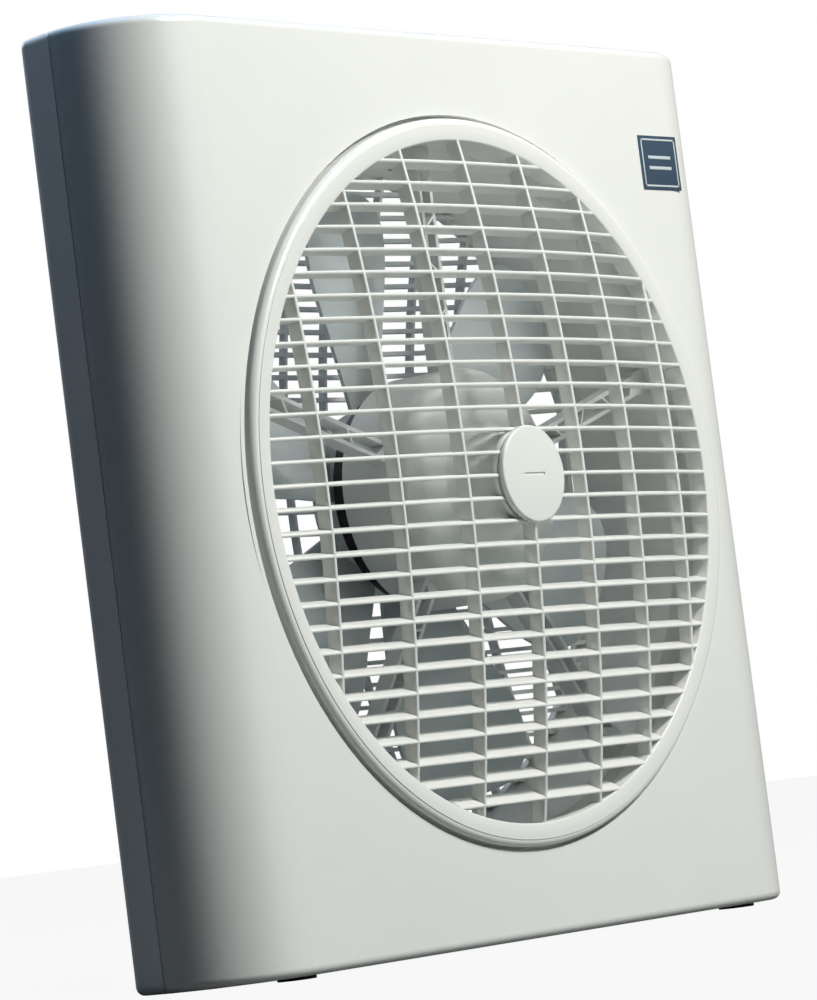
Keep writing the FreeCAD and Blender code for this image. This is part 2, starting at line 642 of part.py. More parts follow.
def make_carrier():
    drum = turned("drum", [
        (-13.5, "dims.bush_radius"), (-13.5, 22), (-4, 22.5), (4, 25.5),
        ("dims.drum_front", 31), ("dims.drum_front", "dims.drum_radius"),
        ("dims.drum_back", "dims.drum_radius"),
        ("dims.drum_back", "dims.drum_radius - dims.wall"),
        ("dims.drum_front + dims.wall", "dims.drum_radius - dims.wall"),
        ("dims.drum_front + dims.wall", 26), (2, 22), (-11, 20), (-11, 9),
        (3, 9), (3, "dims.bush_radius"),
    ], keep_it=False)
    front, radius, wall = val("dims.drum_front"), val("dims.drum_radius"), val("dims.wall")
    round_edges(drum, "dims.drum_round", ring_edge(radius, front))
    round_edges(drum, "dims.drum_round - dims.wall", ring_edge(radius - wall, front + wall))
    arm = new_body("arm", y="dims.ring_plane + dims.arm_front", z="dims.axis_up")
    sketch = sketch_on(arm, "XZ_Plane", "arm_outline")
    outer = "dims.arm_width / 2"
    inner = "(dims.arm_width / 2 - dims.arm_rail)"
    root = "(dims.drum_radius - 1)"
    rectangle(sketch, "0 - " + outer, outer, root, "dims.arm_end - 0.1")
    bays = 4
    slant = 5
    web = 1.5
    for bay in range(bays):
        low = "%s + 3 + %d * dims.arm_bay" % (root, bay)
        high = "%s + 3 + %d * dims.arm_bay - %g" % (root, bay + 1, web)
        lean = slant if bay % 2 else 0
        rise = 0 if bay % 2 else slant
        polygon(sketch, [
            ("0 - " + inner, "%s + %d" % (low, rise)), (inner, "%s + %d" % (low, lean)),
            (inner, "%s + %d" % (high, rise)), ("0 - " + inner, "%s + %d" % (high, lean)),
        ])
    pad(arm, sketch, "dims.arm_depth", True)
    foot = sketch_on(arm, "XZ_Plane", "arm_foot")
    rectangle(foot, "0 - dims.arm_pad / 2", "dims.arm_pad / 2", "dims.arm_end - 11",
              "dims.arm_end - 0.6")
    pad(arm, foot, "dims.arm_depth", True)
    arms = []
    for index in range(ARMS):
        shape = arm.Shape.copy()
        shape.rotate(Vector(0, 0, val("dims.axis_up")), Vector(0, 1, 0), -360.0 * index / ARMS)
        copy = doc.addObject("Part::Feature", "arm_copy")
        copy.Shape = shape
        arms.append(copy)
    start = "dims.ring_plane + dims.drum_front + dims.wall - 1"
    posts = motor_screw_rods("motor_post", 4.5, start, "dims.bell_front - dims.drum_front - dims.wall + 1")
    whole = fused("carrier_whole", [drum] + arms + posts)
    holes = []
    for index in range(ARMS):
        x, z = at_angle("dims.arm_screw_at", ARMS, index)
        holes.append(rod("arm_hole", "dims.arm_screw_radius", 12, x,
                         "dims.ring_plane + dims.arm_front + 2.5", z))
    for side in ("0 +", "0 -"):
        holes.append(rod("drum_hole", 1.2, 6, side + " dims.gearmotor_screw_at",
                         "dims.ring_plane + dims.drum_front - 1", "dims.axis_up"))
    holes.append(rod("drum_lead_hole", 2.2, 20, "dims.lead_across", "dims.ring_plane + dims.lead_back",
                     "dims.axis_up + dims.drum_radius - 12", Rotation()))
    holes += motor_screw_rods("post_hole", "dims.motor_screw_radius",
                              "dims.ring_plane + dims.bell_front - 11", 12)
    keep(without("carrier_node", whole, gathered("carrier_holes", holes)), "motor_carrier")
    screws = []
    for index in range(ARMS):
        x, z = at_angle("dims.arm_screw_at", ARMS, index)
        seat = "dims.ring_plane + dims.arm_front + dims.arm_depth + dims.lug_depth"
        screws.append(screw_from_behind("carrier_screw", x, seat, z,
                                        "dims.arm_screw_radius", 3.4, 15, 2.2))
    keep(gathered("carrier_screws_node", screws), "carrier_screws")


# ---------------------------------------------------------------- main motor

def bell_profile(start, mouth, mirrored):
    """Half of the motor's case: a cup with a bearing seat in its floor."""
    wall = "dims.bell_wall"
    sign = "-" if mirrored else "+"

    def depth(amount):
        return "%s %s (%s)" % (start, sign, amount)
    seat = "dims.bearing_radius"
    return [
        (start, "dims.shaft_radius + 2"), (start, "dims.bell_radius"),
        (mouth, "dims.bell_radius"), (mouth, "dims.bell_radius - " + wall),
        (depth(wall), "dims.bell_radius - " + wall), (depth(wall), seat + " + 2"),
        (depth("dims.bearing_length + 1"), seat + " + 2"),
        (depth("dims.bearing_length + 1"), seat), (depth("1"), seat),
        (depth("1"), "dims.shaft_radius + 2"),
    ]


def drilled(name, body, parts):
    keep(without(name + "_node", body, gathered(name + "_holes", parts)), name)


def motor_screw_rods(label, radius, start, length):
    rods = []
    for index in range(4):
        angle = 45 + 90 * index
        rods.append(rod(label, radius, length, "dims.motor_screw_at * cos(%g deg)" % angle, start,
                        "dims.axis_up + dims.motor_screw_at * sin(%g deg)" % angle))
    return rods


def make_motor():
    seam = "dims.stator_front + dims.stator_length / 2"
    rear = turned("rear_bell", bell_profile("dims.bell_back", seam, True), keep_it=False)
    front = turned("front_bell", bell_profile("dims.bell_front", seam, False), keep_it=False)
    start = "dims.ring_plane + dims.bell_front - 1"
    passing = "dims.motor_screw_radius + 0.2"
    drilled("motor_rear_bell", rear, motor_screw_rods("rear_bell_hole", passing, start, 40))
    drilled("motor_front_bell", front, motor_screw_rods("front_bell_hole", passing, start, 40))
    stator = turned("stator_core_body", [
        ("0", "dims.stator_bore"), ("0", "dims.stator_radius"),
        ("dims.stator_length", "dims.stator_radius"), ("dims.stator_length", "dims.stator_bore"),
    ], y="dims.ring_plane + dims.stator_front", keep_it=False)
    slots = sketch_on(stator, "XZ_Plane", "slot")
    rectangle(slots, "0 - dims.slot_width / 2", "dims.slot_width / 2", "dims.stator_bore - 1",
              "dims.stator_bore + dims.slot_depth")
    slot = stator.newObject("PartDesign::Pocket", "Slot")
    slot.Profile = slots
    slot.Type = 1
    slot.Midplane = True
    doc.recompute()
    polar(stator, slot, 12)
    drilled("stator_core", stator, motor_screw_rods("stator_hole", passing, start, 40))
    turned_windings()
    turned("rotor", [
        ("0", "dims.shaft_radius"), ("0", "dims.rotor_radius - 6"), (2, "dims.rotor_radius"),
        ("dims.stator_length - 3", "dims.rotor_radius"),
        ("dims.stator_length - 1", "dims.rotor_radius - 6"),
        ("dims.stator_length - 1", "dims.shaft_radius"),
    ], y="dims.ring_plane + dims.stator_front + 0.5")
    turned("motor_shaft", [
        ("0", "0"), ("0", "dims.shaft_radius"), (60, "dims.shaft_radius"), (61, "dims.shaft_radius - 1"),
        (61, "0"),
    ], y="dims.ring_plane + dims.bell_front + 0.5")
    for name, place in (("front_bearing", "dims.bell_front + 1"),
                        ("rear_bearing", "dims.bell_back - 1 - dims.bearing_length")):
        turned(name, [
            ("0", "dims.shaft_radius + 0.03"), ("0", "dims.bearing_radius"),
            ("dims.bearing_length", "dims.bearing_radius"),
            ("dims.bearing_length", "dims.shaft_radius + 0.03"),
        ], y="dims.ring_plane + " + place)
    stems = motor_screw_rods("motor_stem", "dims.motor_screw_radius",
                             "dims.ring_plane + dims.bell_back - 44", 44)
    heads = motor_screw_rods("motor_head", 3, "dims.ring_plane + dims.bell_back", 2)
    keep(gathered("motor_screws_node", [fused("motor_screw", [stem, head])
                                        for stem, head in zip(stems, heads)]), "motor_screws")


def turned_windings():
    """End turns of the winding, a ring at each end of the core."""
    rings = []
    for end, place in (("front", "dims.stator_front - 4.6"),
                       ("rear", "dims.stator_front + dims.stator_length + 0.1")):
        body = turned("winding_" + end, [
            ("0", "dims.stator_bore + 3"), ("0", "dims.stator_bore + 11"),
            (4.5, "dims.stator_bore + 13"), (4.5, "dims.stator_bore + 1"),
        ] if end == "front" else [
            ("0", "dims.stator_bore + 1"), ("0", "dims.stator_bore + 13"),
            (4.5, "dims.stator_bore + 11"), (4.5, "dims.stator_bore + 3"),
        ], y="dims.ring_plane + " + place, keep_it=False)
        rings.append(body)
    keep(gathered("windings_node", rings), "stator_windings")


# ---------------------------------------------------------------- impeller

def blade_section(height, half):
    """A bowed plate section, level at a height above the fan's axis."""
    root, tip = val("dims.hub_radius"), val("dims.blade_tip")
    share = (height - root) / (tip - root)
    pitch = val("dims.root_pitch") + share * (val("dims.tip_pitch") - val("dims.root_pitch"))
    middle = val("dims.blade_root_back") - share * val("dims.blade_rake")
    bow = val("dims.blade_bow") * half
    lines = []
    for side in (-0.5, 0.5):
        points = []
        for place in (-1, 0, 1):
            depth = middle + place * half * math.tan(math.radians(pitch)) - bow * (1 - place ** 2)
            points.append(Vector(place * half, depth + side * val("dims.blade_thickness"), height))
        lines.append(points)
    front, back = lines
    return Part.Wire([
        Part.Arc(*front).toShape(),
        Part.LineSegment(front[2], back[2]).toShape(),
        Part.Arc(*reversed(back)).toShape(),
        Part.LineSegment(back[0], front[0]).toShape(),
    ])


def blade():
    """One paddle-shaped blade, from inside the hub to its rounded tip."""
    wires = [blade_section(share * val("dims.blade_tip"), half) for share, half in BLADE_PLAN]
    plate = Part.makeLoft(wires, True, False)
    core = Part.makeCylinder(val("dims.hub_radius") - 1, 100, Vector(), Vector(0, 1, 0))
    return plate.cut(core)


def make_impeller():
    hub = turned("hub", [
        ("0", "dims.hub_radius - 2.5"), ("0", "dims.hub_radius"),
        ("dims.hub_length - 4", "dims.hub_radius"), ("dims.hub_length", "dims.hub_radius - 4"),
        ("dims.hub_length", "dims.shaft_radius"), (4, "dims.shaft_radius"), (4, 10),
        ("dims.hub_length - 3", 10), ("dims.hub_length - 3", "dims.hub_radius - 5"),
        ("dims.hub_length - 5", "dims.hub_radius - 2.5"),
    ], y="dims.ring_plane + dims.hub_front", keep_it=False)
    one = blade()
    blades = []
    for index in range(BLADES):
        copy = one.copy()
        copy.rotate(Vector(), Vector(0, 1, 0), -val("dims.blade_turn") - 360.0 * index / BLADES)
        blades.append(shaped("blade%d" % index, copy, "dims.ring_plane"))
    keep(fused("impeller_node", [hub] + blades), "impeller")
    nut = doc.addObject("Part::Prism", "impeller_nut_body")
    nut.Polygon = 6
    nut.Placement = Placement(Vector(), FRONT_UP)
    bind(nut, Circumradius=7, Height=4, at_x=0, at_z="dims.axis_up",
         at_y="dims.ring_plane + dims.hub_front + dims.hub_length")
    bore = rod("nut_bore", "dims.shaft_radius", 8, 0,
               "dims.ring_plane + dims.hub_front + dims.hub_length - 1", "dims.axis_up")
    keep(without("impeller_nut_node", nut, bore), "impeller_nut")


# ---------------------------------------------------------------- controls

def make_control_tray():
    left, right = "dims.tray_left + 0.2", "dims.tray_right - 0.2"
    front = "dims.ring_plane + dims.tray_front + 0.2"
    back = "dims.ring_plane + dims.tray_back - 0.2"
    outer = block("tray_outer", (right + " - (" + left + ")", back + " - (" + front + ")",
                                 "dims.tray_depth"),
                  (left, front, "dims.body_top - dims.tray_depth"))
    flange = block("tray_flange", (right + " - (" + left + ") + 8", back + " - (" + front + ") + 6", 2),
                   (left + " - 4", front + " - 3", "dims.body_top - dims.wall - 2.1"))
    inner = block("tray_inner", (right + " - (" + left + ") - 2 * dims.tray_wall",
                                 back + " - (" + front + ") - 2 * dims.tray_wall", "dims.tray_depth"),
                  (left + " + dims.tray_wall", front + " + dims.tray_wall",
                   "dims.body_top - dims.tray_depth + dims.tray_wall"))
    holes = [rod("tray_hole", 4, 6, "dims." + name + "_at", "dims.ring_plane + dims.control_back",
                 "dims.body_top - dims.tray_depth - 2", Rotation()) for name in ("speed", "timer")]
    slot = block("rocker_slot", (12, 22, 8), ("dims.rocker_at - 6",
                 "dims.ring_plane + dims.control_back - 11", "dims.body_top - dims.tray_depth - 2"))
    tool = gathered("tray_holes", [inner, slot] + holes)
    keep(without("control_tray_node", fused("tray_whole", [outer, flange]), tool), "control_tray")


def make_knob(name, place):
    """A round knob with a finger bar, and the spindle it turns."""
    floor = "dims.body_top - dims.tray_depth + dims.tray_wall"
    depth = "dims.ring_plane + dims.control_back"
    skirt = rod(name + "_skirt", "dims.knob_radius", 4, place, depth, floor + " + 0.5", Rotation())
    grip = block(name + "_grip", (5, "2 * dims.knob_radius - 3", "dims.knob_height - 1.2"),
                 (place + " - 2.5", depth + " - dims.knob_radius + 1.5", floor + " + 0.5"))
    core = rod(name + "_core", "dims.knob_radius - 5", "dims.knob_height - 4", place, depth,
               floor + " + 0.5", Rotation())
    bore = rod(name + "_bore", 3, 7, place, depth, floor + " - 1", Rotation())
    keep(without(name + "_node", fused(name + "_whole", [skirt, grip, core]), bore), name)
    spindle = rod(name + "_spindle", 3, 11, place, depth, floor + " - 5", Rotation())
    keep(spindle, name.replace("knob", "spindle"))


def switch_body(name, place, size):
    """A box-shaped switch body hung under the tray, open for its spindle."""
    top = "dims.body_top - dims.tray_depth"
    depth = "dims.ring_plane + dims.control_back"
    case = block(name + "_case", size, (place + " - %g" % (size[0] / 2.0),
                                        depth + " - %g" % (size[1] / 2.0), top + " - %g" % size[2]))
    hole = rod(name + "_hole", 3.05, 8, place, depth, top + " - 6", Rotation())
    keep(without(name + "_node", case, hole), name)


def make_rocker():
    """A rocker cap with a raised end, turning in its own frame."""
    place, depth = "dims.rocker_at", "dims.ring_plane + dims.control_back"
    top = "dims.body_top - dims.tray_depth"
    pivot = top + " - dims.rocker_drop"
    case = block("rocker_case", (13, 26, 18), (place + " - 6.5", depth + " - 13", top + " - 18"))
    space = block("rocker_space", (10.6, 20, 14), (place + " - 5.3", depth + " - 10", top + " - 9"))
    sideways = Rotation(Vector(0, 1, 0), 90)
    bore = rod("rocker_bore", "dims.rocker_pin + dims.rocker_play", 14, place + " - 7", depth,
               pivot, sideways)
    keep(without("rocker_switch_node", case, gathered("rocker_holes", [space, bore])),
         "rocker_switch")
    body = new_body("rocker_body", x=place + " - 4.8", y=depth, z=pivot)
    sketch = sketch_on(body, "YZ_Plane", "rocker_side")
    polygon(sketch, [("0 - 8.6", 6.4), ("0", 4.6), (8.6, 6.4), (7.6, 1), ("0", "0 - 3"),
                     ("0 - 7.6", 1)])
    pad(body, sketch, 9.6)
    body.Placement.Rotation = Rotation(Vector(1, 0, 0), val("dims.rocker_tilt"))
    pin = rod("rocker_pin", "dims.rocker_pin", 12.2, place + " - 6.1", depth, pivot, sideways)
    keep(fused("grille_rocker_node", [body, pin]), "grille_rocker")


def make_controls():
    make_control_tray()
    make_knob("speed_knob", "dims.speed_at")
    make_knob("timer_knob", "dims.timer_at")
    switch_body("speed_switch", "dims.speed_at", (24, 24, 18))
    switch_body("timer", "dims.timer_at", (40, 32, 26))
    make_rocker()


# ---------------------------------------------------------------- electrics

def make_electrics():
    floor = "dims.foot_drop + dims.wall"
    keep(block("run_capacitor", (38, 22, 28), (-178, "dims.ring_plane + 26", floor)), "run_capacitor")
    keep(block("terminal_block", (34, 14, 12), (116, "dims.ring_plane + 58", floor)), "terminal_block")
    gland = turned_gland()
    keep(gland, "cord_gland")
    keep(motor_lead(), "motor_lead")


def turned_gland():
    """The bush in the back wall that the mains cord would come through."""
    body = new_body("gland_body", x="dims.body_width / 2 - 55", y=REAR_Y, z="34")
    sketch = sketch_on(body, "YZ_Plane", "gland_profile")
    polygon(sketch, [("0 - 6", 3.6), ("0 - 6", 7.5), ("0 - dims.wall", 7.5), ("0 - dims.wall", 6),
                     ("0", 6), ("0", 9), (3, 8), (3, 3.6)])
    revolve(body, sketch)
    return body


def motor_lead():
    """The lead from the motor: up behind the top arm, then across to the speed switch."""
    across = val("dims.lead_across")
    depth = val("dims.ring_plane + dims.lead_back")
    low = val("dims.axis_up + dims.drum_radius - 4.5")
    high = val("dims.body_top - dims.tray_depth - 10")
    end = val("dims.speed_at - 12")
    bend = 12
    start, corner = Vector(across, depth, low), Vector(across, depth, high)
    before, after = Vector(across, depth, high - bend), Vector(across + bend, depth, high)
    slant = bend * (1 - math.sqrt(0.5))
    path = Part.Wire([
        Part.LineSegment(start, before).toShape(),
        Part.Arc(before, corner + Vector(slant, 0, -slant), after).toShape(),
        Part.LineSegment(after, Vector(end, depth, high)).toShape(),
    ])
    ring = Part.Wire(Part.Circle(start, Vector(0, 0, 1), val("dims.lead_radius")).toShape())
    lead = doc.addObject("Part::Feature", "motor_lead_tube")
    lead.Shape = path.makePipeShell([ring], True, False)
    return lead


# ---------------------------------------------------------------- whole fan

def check_document():
    doc.recompute()
    for obj in doc.Objects:
        for state in ("Invalid", "Error"):
            if state in obj.State:
                raise RuntimeError("%s (%s) is %s" % (obj.Name, obj.Label, state))
    for node in nodes:
        if node.Shape.isNull() or not node.Shape.isValid() or not node.Shape.Solids:
            raise RuntimeError("bad shape: " + node.Label)


def main():
    make_front_cover()
    make_rear_cover()
    make_rear_grille()
    make_case_fasteners()
    make_front_grille()
    make_grille_cap()
    make_grille_drive()
    make_carrier()
    make_motor()
    make_impeller()
    make_controls()
    make_electrics()
    check_document()
    os.makedirs("parts", exist_ok=True)
    for node in nodes:
        node.Shape.exportStep(os.path.join("parts", node.Label + ".step"))
        box = node.Shape.BoundBox
        print("%-20s solids %2d  x %7.1f %7.1f  y %7.1f %7.1f  z %7.1f %7.1f" % (
            node.Label, len(node.Shape.Solids), box.XMin, box.XMax, box.YMin, box.YMax,
            box.ZMin, box.ZMax))


main()
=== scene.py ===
import math

import bmesh
import bpy
from bpy.props import FloatProperty, FloatVectorProperty, IntProperty, PointerProperty
from mathutils import Matrix, Vector


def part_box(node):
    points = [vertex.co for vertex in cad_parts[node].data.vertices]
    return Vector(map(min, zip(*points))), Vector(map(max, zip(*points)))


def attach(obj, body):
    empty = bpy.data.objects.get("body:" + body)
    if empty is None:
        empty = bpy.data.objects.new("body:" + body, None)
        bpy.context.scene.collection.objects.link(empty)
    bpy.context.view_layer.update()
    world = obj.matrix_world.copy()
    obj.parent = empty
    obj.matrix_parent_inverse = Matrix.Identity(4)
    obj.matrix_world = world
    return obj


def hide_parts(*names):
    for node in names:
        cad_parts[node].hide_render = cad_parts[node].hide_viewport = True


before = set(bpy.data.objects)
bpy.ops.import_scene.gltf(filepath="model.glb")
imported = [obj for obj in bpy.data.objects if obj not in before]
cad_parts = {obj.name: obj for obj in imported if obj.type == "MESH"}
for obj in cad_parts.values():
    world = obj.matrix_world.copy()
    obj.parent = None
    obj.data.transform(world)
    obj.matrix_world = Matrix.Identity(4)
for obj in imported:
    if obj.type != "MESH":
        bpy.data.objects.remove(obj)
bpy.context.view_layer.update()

bl_info = {
    "name": "Box Fan",
    "version": (1, 0, 0),
    "blender": (4, 5, 0),
    "location": "View3D > Sidebar > Box Fan",
    "description": "Builds a square box fan with a turning louvre grille on its packed frame",
    "category": "Object",
}

MM = 0.001

# Places taken from the frame: the fan's axis and the plane of the grille's ring.
RING_LOW, RING_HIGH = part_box("front_grille")
CAP_LOW, CAP_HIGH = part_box("grille_cap")
AXIS_UP = (RING_LOW.z + RING_HIGH.z) / 2
RING_OUTER = (RING_HIGH.x - RING_LOW.x) / 2
RING_DEPTH = 12 * MM
RING_FRONT = RING_HIGH.y - RING_DEPTH
BOSS_RADIUS = 23.5 * MM
# The louvres all point at one line behind and above the ring's middle.
LOUVRE_FOCUS_UP = 56 * MM
LOUVRE_FOCUS_BACK = 400 * MM
# The wall of the control tray's floor.
TRAY_WALL = 1.8 * MM
# A knob's bore fits its 6 mm spindle.
KNOB_BORE = 3.02 * MM

# Where the camera stands: it looks at AIM from this direction, in degrees, and this far off.
AIM = Vector((-0.0288, -0.0099, 0.2169))
CAMERA_AZIMUTH, CAMERA_ELEVATION, CAMERA_ROLL = -50.55, -3.98, -7.25
CAMERA_DISTANCE = 2.18422
CAMERA_LENS = 163.9
SENSOR_WIDTH = 36

# Soft lights: name, azimuth, elevation, distance, size, power and colour.
LAMPS = (
    ("key", 14, 40, 1.9, 0.55, 36, "#fffdf9"),
    ("front", 12, 4, 3.2, 1.2, 14, "#dff8f4"),
    ("back", 172, 34, 3.0, 1.8, 34, "#eef4ff"),
    ("left", -102, 72, 0.66, 0.25, 1.1, "#7db6ea"),
    ("rim", -150, 30, 2.4, 0.3, 0.7, "#a8d0f4"),
)
ROOM_LIGHT = 0.02
FLOOR_HALF_WIDTH = 30
# How much of the floor is plain white to camera rays. The lights and reflections meet only grey.
FLOOR_WHITE_SHARE = 0.93


# ---------------------------------------------------------------- sizes and colours

class BoxFanSizes(bpy.types.PropertyGroup):
    """Sizes of the pieces that are modelled here."""

    ring_inner: FloatProperty(
        name="Ring inside", description="Inside radius of the turning ring",
        default=165 * MM, subtype="DISTANCE", unit="LENGTH")
    dome_rise: FloatProperty(
        name="Grille rise", description="How far the louvres dome forward in the middle",
        default=17.5 * MM, subtype="DISTANCE", unit="LENGTH")
    louvre_pitch: FloatProperty(
        name="Louvre spacing", description="Upright distance between louvres",
        default=11 * MM, subtype="DISTANCE", unit="LENGTH")
    louvre_depth: FloatProperty(
        name="Louvre depth", description="Depth of a louvre from its front edge",
        default=7.6 * MM, subtype="DISTANCE", unit="LENGTH")
    bar_thickness: FloatProperty(
        name="Bar thickness", description="Thickness of louvres and ribs",
        default=2.0 * MM, subtype="DISTANCE", unit="LENGTH")
    rib_pitch: FloatProperty(
        name="Rib spacing", description="Distance between the upright ribs",
        default=45 * MM, subtype="DISTANCE", unit="LENGTH")
    louvre_rows: IntProperty(
        name="Louvre rows", description="Rows of louvres above and below the middle one",
        default=14, min=1)
    rib_columns: IntProperty(
        name="Rib columns", description="Ribs on each side of the middle one",
        default=3, min=1)


class BoxFanColours(bpy.types.PropertyGroup):
    """Base colours, as sRGB."""

    case: FloatVectorProperty(
        name="Case", description="Colour of the case", subtype="COLOR_GAMMA",
        default=(0.945, 0.95, 0.935), min=0, max=1)
    grille: FloatVectorProperty(
        name="Grille", description="Colour of the turning grille", subtype="COLOR_GAMMA",
        default=(0.95, 0.955, 0.94), min=0, max=1)
    carrier: FloatVectorProperty(
        name="Motor carrier", description="Colour of the motor's housing and arms",
        subtype="COLOR_GAMMA", default=(0.86, 0.87, 0.865), min=0, max=1)
    impeller: FloatVectorProperty(
        name="Impeller", description="Colour of the blades", subtype="COLOR_GAMMA",
        default=(0.80, 0.825, 0.835), min=0, max=1)
    badge: FloatVectorProperty(
        name="Badge", description="Colour of the plain badge", subtype="COLOR_GAMMA",
        default=(0.27, 0.34, 0.41), min=0, max=1)


# ---------------------------------------------------------------- materials

def linear(colour):
    """Linear RGBA of an sRGB hex value or triple."""
    if isinstance(colour, str):
        colour = [int(colour[i:i + 2], 16) / 255 for i in (1, 3, 5)]
    channels = [c / 12.92 if c <= 0.04045 else ((c + 0.055) / 1.055) ** 2.4 for c in colour]
    return (*channels, 1.0)


def node(tree, kind, settings=None, **links):
    """Add a node, set its properties and sockets, and link its inputs."""
    made = tree.nodes.new(kind)
    for name, value in (settings or {}).items():
        if name in made.inputs:
            made.inputs[name].default_value = value
        else:
            setattr(made, name, value)
    for name, source in links.items():
        tree.links.new(source, made.inputs[name.replace("_", " ")])
    return made


def blank(name):
    """An empty material with its shader and output."""
    material = bpy.data.materials.new(name)
    material.use_nodes = True
    tree = material.node_tree
    tree.nodes.clear()
    shader = tree.nodes.new("ShaderNodeBsdfPrincipled")
    output = tree.nodes.new("ShaderNodeOutputMaterial")
    tree.links.new(shader.outputs[0], output.inputs["Surface"])
    return material, tree, shader


def place(tree):
    return tree.nodes.new("ShaderNodeTexCoord").outputs["Object"]


def two_tones(tree, factor, dark, light):
    """A colour that runs between two tones."""
    ramp = node(tree, "ShaderNodeValToRGB", None, Fac=factor)
    ramp.color_ramp.elements[0].color = dark
    ramp.color_ramp.elements[1].color = light
    return ramp.outputs["Color"]


def spread(tree, factor, low, high):
    """Map 0 to 1 onto low to high."""
    return node(tree, "ShaderNodeMapRange", {"To Min": low, "To Max": high}, Value=factor).outputs[0]


def moulded(name, colour, roughness, grain_mm=0.9, grain_depth=0.02, mottle=0.03, coat=0.0,
            glow=0.0, ior=1.5):
    """A moulded plastic: a fine eroded skin from the tool, a slow drift of tone from the melt's
    flow, and a sheen that varies a little where hands and cleaning have polished it."""
    material, tree, shader = blank(name)
    where = place(tree)
    drift = node(tree, "ShaderNodeTexNoise", {"Scale": 14.0, "Detail": 3.0, "Roughness": 0.5},
                 Vector=where)
    base = linear(colour)
    dark = tuple(c * (1 - mottle) for c in base[:3]) + (1.0,)
    light = tuple(min(1.0, c * (1 + mottle)) for c in base[:3]) + (1.0,)
    tree.links.new(two_tones(tree, drift.outputs["Fac"], dark, light), shader.inputs["Base Color"])
    polish = node(tree, "ShaderNodeTexNoise", {"Scale": 45.0, "Detail": 4.0}, Vector=where)
    tree.links.new(spread(tree, polish.outputs["Fac"], roughness - 0.05, roughness + 0.07),
                   shader.inputs["Roughness"])
    grain = node(tree, "ShaderNodeTexNoise",
                 {"Scale": 1 / (grain_mm * MM), "Detail": 2.0, "Roughness": 0.6}, Vector=where)
    bump = node(tree, "ShaderNodeBump", {"Strength": 0.35, "Distance": grain_depth * MM},
                Height=grain.outputs["Fac"])
    tree.links.new(bump.outputs[0], shader.inputs["Normal"])
    shader.inputs["IOR"].default_value = ior
    shader.inputs["Coat Weight"].default_value = coat
    if glow:
        shader.inputs["Subsurface Weight"].default_value = glow
        shader.inputs["Subsurface Scale"].default_value = 2.5 * MM
        shader.inputs["Subsurface Radius"].default_value = (1.0, 0.9, 0.8)
    return material


def metal(name, colour, roughness, streak_mm=0.4, along=(1, 12, 1)):
    """A bare or plated metal: fine turned or drawn streaks, with the sheen broken along them."""
    material, tree, shader = blank(name)
    where = place(tree)
    stretched = node(tree, "ShaderNodeMapping", {"Scale": along}, Vector=where)
    streak = node(tree, "ShaderNodeTexNoise", {"Scale": 1 / (streak_mm * 10 * MM), "Detail": 5.0},
                  Vector=stretched.outputs[0])
    base = linear(colour)
    dark = tuple(c * 0.82 for c in base[:3]) + (1.0,)
    tree.links.new(two_tones(tree, streak.outputs["Fac"], dark, base), shader.inputs["Base Color"])
    tree.links.new(spread(tree, streak.outputs["Fac"], roughness - 0.08, roughness + 0.12),
                   shader.inputs["Roughness"])
    bump = node(tree, "ShaderNodeBump", {"Strength": 0.25, "Distance": 0.01 * MM},
                Height=streak.outputs["Fac"])
    tree.links.new(bump.outputs[0], shader.inputs["Normal"])
    shader.inputs["Metallic"].default_value = 1.0
    return material


def make_materials(colours):
    """Every finish of the fan, by name."""
    return {
        # ABS, injection moulded, satin: broad soft highlights
        "case": moulded("abs_case_white", colours.case, 0.38),
        # ABS of a polished tool: a tighter highlight along each louvre
        "grille": moulded("abs_grille_white", colours.grille, 0.30, grain_mm=1.4),
        # polypropylene with mineral filler: greyer and duller than the case
        "carrier": moulded("pp_carrier_grey", colours.carrier, 0.45, grain_mm=0.7),
        # natural polypropylene: light passes into the thin blades
        "impeller": moulded("pp_impeller_grey", colours.impeller, 0.35, glow=0.35),
        # steel pressings of the motor's end bells: deep black with a low sheen; the black is also painted
        # shade, standing in for the dark gap behind the drum
        "motor": moulded("black_steel_painted_gap_shade", "#0b0b0d", 0.42, grain_mm=0.5, mottle=0.1),
        # printed polycarbonate plate
        "badge": moulded("polycarbonate_badge", colours.badge, 0.25, grain_mm=2.0),
        # pale ink printed on the plate
        "badge_print": moulded("printed_badge_pale", "#cfd8dc", 0.45),
        # ABS knobs, a shade darker than the case
        "knob": moulded("abs_knob_grey", "#9aa3aa", 0.33),
        # pointer marks printed on the knobs
        "mark": moulded("printed_mark_dark", "#3b4650", 0.5),
        # phenolic and nylon of the switch bodies
        "switch": moulded("nylon_switch_black", "#17181a", 0.5),
        # vulcanised rubber: matt, with a little bloom
        "rubber": moulded("rubber_foot_black", "#1d1d1e", 0.75, grain_mm=1.1, mottle=0.15),
        # zinc plated screws and ground shafts
        "steel": metal("zinc_plated_steel", "#b9bab6", 0.32),
        # enamelled copper wire
        "copper": metal("enamelled_copper", "#b4683a", 0.35, along=(12, 1, 12)),
        # sintered bronze
        "bronze": metal("sintered_bronze", "#a8844a", 0.45),
    }


